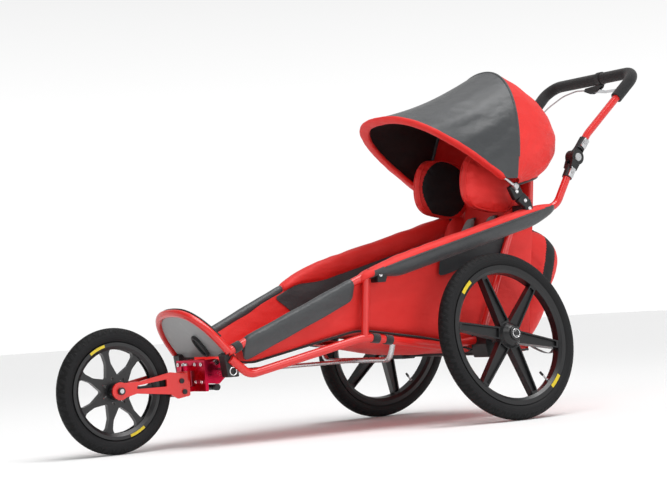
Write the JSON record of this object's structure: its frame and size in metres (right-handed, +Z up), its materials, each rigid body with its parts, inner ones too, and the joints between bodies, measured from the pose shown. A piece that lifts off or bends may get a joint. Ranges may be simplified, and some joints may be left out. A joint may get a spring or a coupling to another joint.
{
  "type": "jogging stroller",
  "caption": "Three-wheeled running stroller with a welded tube frame, long fabric tub, cambered rear mag wheels, folding canopy and a tilting push handle.",
  "frame": {"origin": "middle of the bounding box at ground level", "axes": "+X to the stroller's left, +Y backwards, +Z up"},
  "size_m": [0.7338, 2.0499, 1.0897],
  "materials": {
    "red_paint": "satin powder coat",
    "silver_metal": "brushed",
    "red_anodised": "anodised, satin",
    "steel": "brushed",
    "dark_metal": "black oxide",
    "black_plastic": "moulded grain",
    "mag_plastic": "glass-filled moulding",
    "grey_plastic": "moulded grain",
    "tyre_rubber": "matt rubber",
    "grip_foam": "closed-cell foam",
    "red_fabric": "coated woven nylon",
    "grey_fabric": "coated woven nylon",
    "black_fabric": "woven webbing and mesh",
    "cable_jacket": "extruded jacket"
  },
  "bodies": {
    "chassis": {"adjuster_rod": "silver_metal", "axle_beam": "dark_metal", "axle_brackets": "dark_metal", "backrest": "red_fabric", "backrest_frame": "red_paint", "bag": "red_fabric", "brake_cable_lower": "cable_jacket", "canopy_hinges": "dark_metal", "canopy_rear_cloth": "red_fabric", "canopy_seam_bow": "steel", "cross_tube": "silver_metal", "cross_tube_clamps": "red_anodised", "elbow_lowers": "black_plastic", "elbow_pins": "steel", "foot_hoop": "red_paint", "foot_strap": "black_fabric", "footplate": "grey_plastic", "frame_brackets": "black_plastic", "frame_posts": "red_paint", "harness": "black_fabric", "headrest_wings": "black_fabric", "keel_strut": "red_paint", "kingpin": "steel", "leg_sleeves": "grey_fabric", "lower_rails": "red_paint", "seat_cushion": "red_fabric", "side_bolsters": "grey_fabric", "steering_head": "dark_metal", "stub_axles": "steel", "tracking_damper": "black_plastic", "tub": "red_fabric", "upper_rails": "red_paint"},
    "fork": {"fork_plates": "red_paint", "fork_bridge": "red_paint", "front_axle": "silver_metal", "fork_fasteners": "dark_metal"},
    "front_wheel": {"front_rim": "mag_plastic", "front_tyre": "tyre_rubber", "front_bearings": "steel"},
    "rear_wheel_left": {"rear_rim_left": "mag_plastic", "rear_tyre_left": "tyre_rubber", "rear_bearings_left": "steel", "hub_cap_left": "silver_metal"},
    "rear_wheel_right": {"rear_rim_right": "mag_plastic", "rear_tyre_right": "tyre_rubber", "rear_bearings_right": "steel", "hub_cap_right": "silver_metal"},
    "release_button_left": {"release_button_left": "black_plastic"},
    "release_button_right": {"release_button_right": "black_plastic"},
    "handlebar": {"handlebar_tube": "red_paint", "grip": "grip_foam", "elbow_uppers": "black_plastic", "brake_clamp": "silver_metal", "brake_cable": "cable_jacket"},
    "elbow_button_left": {"elbow_button_left": "grey_plastic"},
    "elbow_button_right": {"elbow_button_right": "grey_plastic"},
    "brake_lever": {"brake_lever": "silver_metal"},
    "canopy_front": {"canopy_front_bow": "steel", "canopy_front_cloth": "grey_fabric"},
    "canopy_middle": {"canopy_middle_cloth": "grey_fabric"}
  },
  "joints": [
    {"name": "fork_steer", "type": "hinge", "parent": "chassis", "child": "fork", "pos_m": [0, -0.6295, 0.188], "axis": [0, 0, 1], "range_deg": [-10, 10], "stiffness_Nm_per_rad": 8},
    {"name": "front_wheel_spin", "type": "hinge", "parent": "fork", "child": "front_wheel", "pos_m": [0, -0.854, 0.171], "axis": [1, 0, 0], "continuous": true},
    {"name": "rear_wheel_left_spin", "type": "hinge", "parent": "chassis", "child": "rear_wheel_left", "pos_m": [0.30417, 0.291, 0.24656], "axis": [0.9848, 0, 0.1736], "continuous": true},
    {"name": "rear_wheel_right_spin", "type": "hinge", "parent": "chassis", "child": "rear_wheel_right", "pos_m": [-0.30417, 0.291, 0.24656], "axis": [-0.9848, 0, 0.1736], "continuous": true},
    {"name": "release_button_left_push", "type": "slide", "parent": "chassis", "child": "release_button_left", "axis": [-0.9848, 0, -0.1736], "range_m": [0, 0.004], "stiffness_N_per_m": 400},
    {"name": "release_button_right_push", "type": "slide", "parent": "chassis", "child": "release_button_right", "axis": [0.9848, 0, -0.1736], "range_m": [0, 0.004], "stiffness_N_per_m": 400},
    {"name": "handlebar_tilt", "type": "hinge", "parent": "chassis", "child": "handlebar", "pos_m": [0, 0.716, 0.786], "axis": [1, 0, 0], "range_deg": [-75, 20]},
    {"name": "elbow_button_left_push", "type": "slide", "parent": "chassis", "child": "elbow_button_left", "axis": [-1, 0, 0], "range_m": [0, 0.003], "stiffness_N_per_m": 400},
    {"name": "elbow_button_right_push", "type": "slide", "parent": "chassis", "child": "elbow_button_right", "axis": [1, 0, 0], "range_m": [0, 0.003], "stiffness_N_per_m": 400},
    {"name": "brake_lever_pull", "type": "hinge", "parent": "handlebar", "child": "brake_lever", "pos_m": [0.004, 1.003, 1.03], "axis": [0, -1, 0], "range_deg": [0, 14], "stiffness_Nm_per_rad": 1.5},
    {"name": "canopy_front_fold", "type": "hinge", "parent": "chassis", "child": "canopy_front", "pos_m": [0, 0.441, 0.695], "axis": [-1, 0, 0], "range_deg": [0, 60]},
    {"name": "canopy_middle_fold", "type": "hinge", "parent": "chassis", "child": "canopy_middle", "pos_m": [0, 0.441, 0.695], "axis": [-1, 0, 0], "range_deg": [0, 30]}
  ],
  "couplings": [
    {"joint": "canopy_middle_fold", "follows": "canopy_front_fold", "ratio": 0.5}
  ]
}
